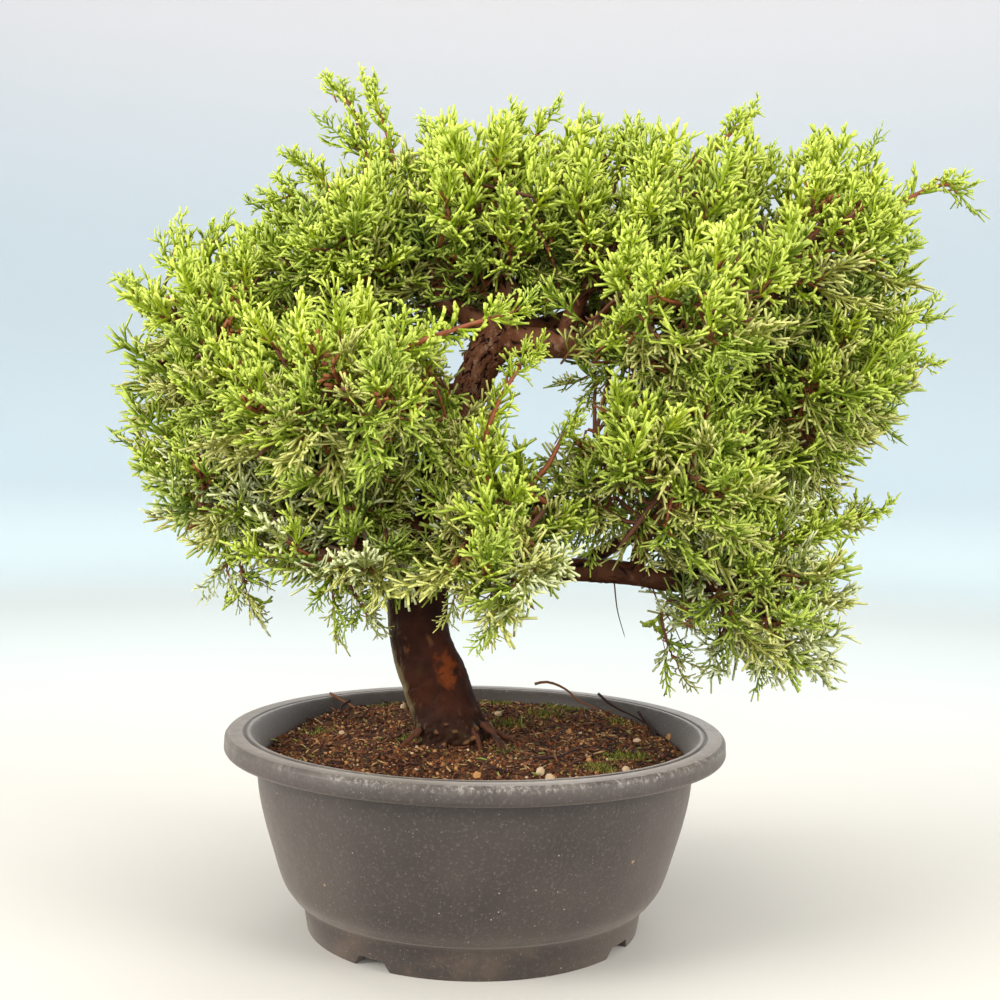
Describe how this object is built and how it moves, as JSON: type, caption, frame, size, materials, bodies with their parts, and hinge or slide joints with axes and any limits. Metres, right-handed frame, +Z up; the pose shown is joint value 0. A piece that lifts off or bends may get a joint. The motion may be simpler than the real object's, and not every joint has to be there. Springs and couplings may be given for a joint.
{
  "type": "juniper bonsai in a training pot",
  "caption": "Small juniper bonsai with a leaning, tapering trunk and a dense rounded crown of scale-leaf sprays, standing in a round plastic training pot filled with soil.",
  "frame": {"origin": "on the ground, under the middle of the whole plant's reach in X and Y; the pot's axis is 22 mm to its left and 3 mm in front of it", "axes": "+Z up; +X to the right as the tree's front is seen; +Y from the front towards the back"},
  "size_m": [0.318, 0.2026, 0.311],
  "materials": {
    "pot": "matt dark grey with pale scuffs",
    "soil": "loose reddish-brown grit",
    "bark": "flaking reddish-brown bark",
    "foliage": "matt yellow-green scale leaves"
  },
  "bodies": {
    "root": {"pot": "pot", "soil": "soil", "trunk": "bark", "bough_upper_right": "bark", "bough_right_shoulder": "bark", "bough_top_right": "bark", "bough_front_right": "bark", "bough_back_right": "bark", "bough_low_right": "bark", "bough_right_front": "bark", "bough_back_low_right": "bark", "bough_top_left": "bark", "bough_back_top": "bark", "bough_left_front": "bark", "bough_left_outer": "bark", "bough_back_left": "bark", "bough_left_low_outer": "bark", "bough_low_left": "bark", "bough_back_low_left": "bark", "bough_centre_front": "bark", "foliage_crown_top_left": "foliage", "foliage_crown_top": "foliage", "foliage_crown_top_right": "foliage", "foliage_crown_right": "foliage", "foliage_right_shoulder": "foliage", "foliage_right_front": "foliage", "foliage_right_low": "foliage", "foliage_centre_front": "foliage", "foliage_left_front": "foliage", "foliage_left_outer": "foliage", "foliage_left_low_outer": "foliage", "foliage_left_low": "foliage", "foliage_back_left": "foliage", "foliage_back_top": "foliage", "foliage_back_right": "foliage", "foliage_back_low_right": "foliage", "foliage_back_low_left": "foliage", "foliage_front_right": "foliage"}
  },
  "joints": []
}
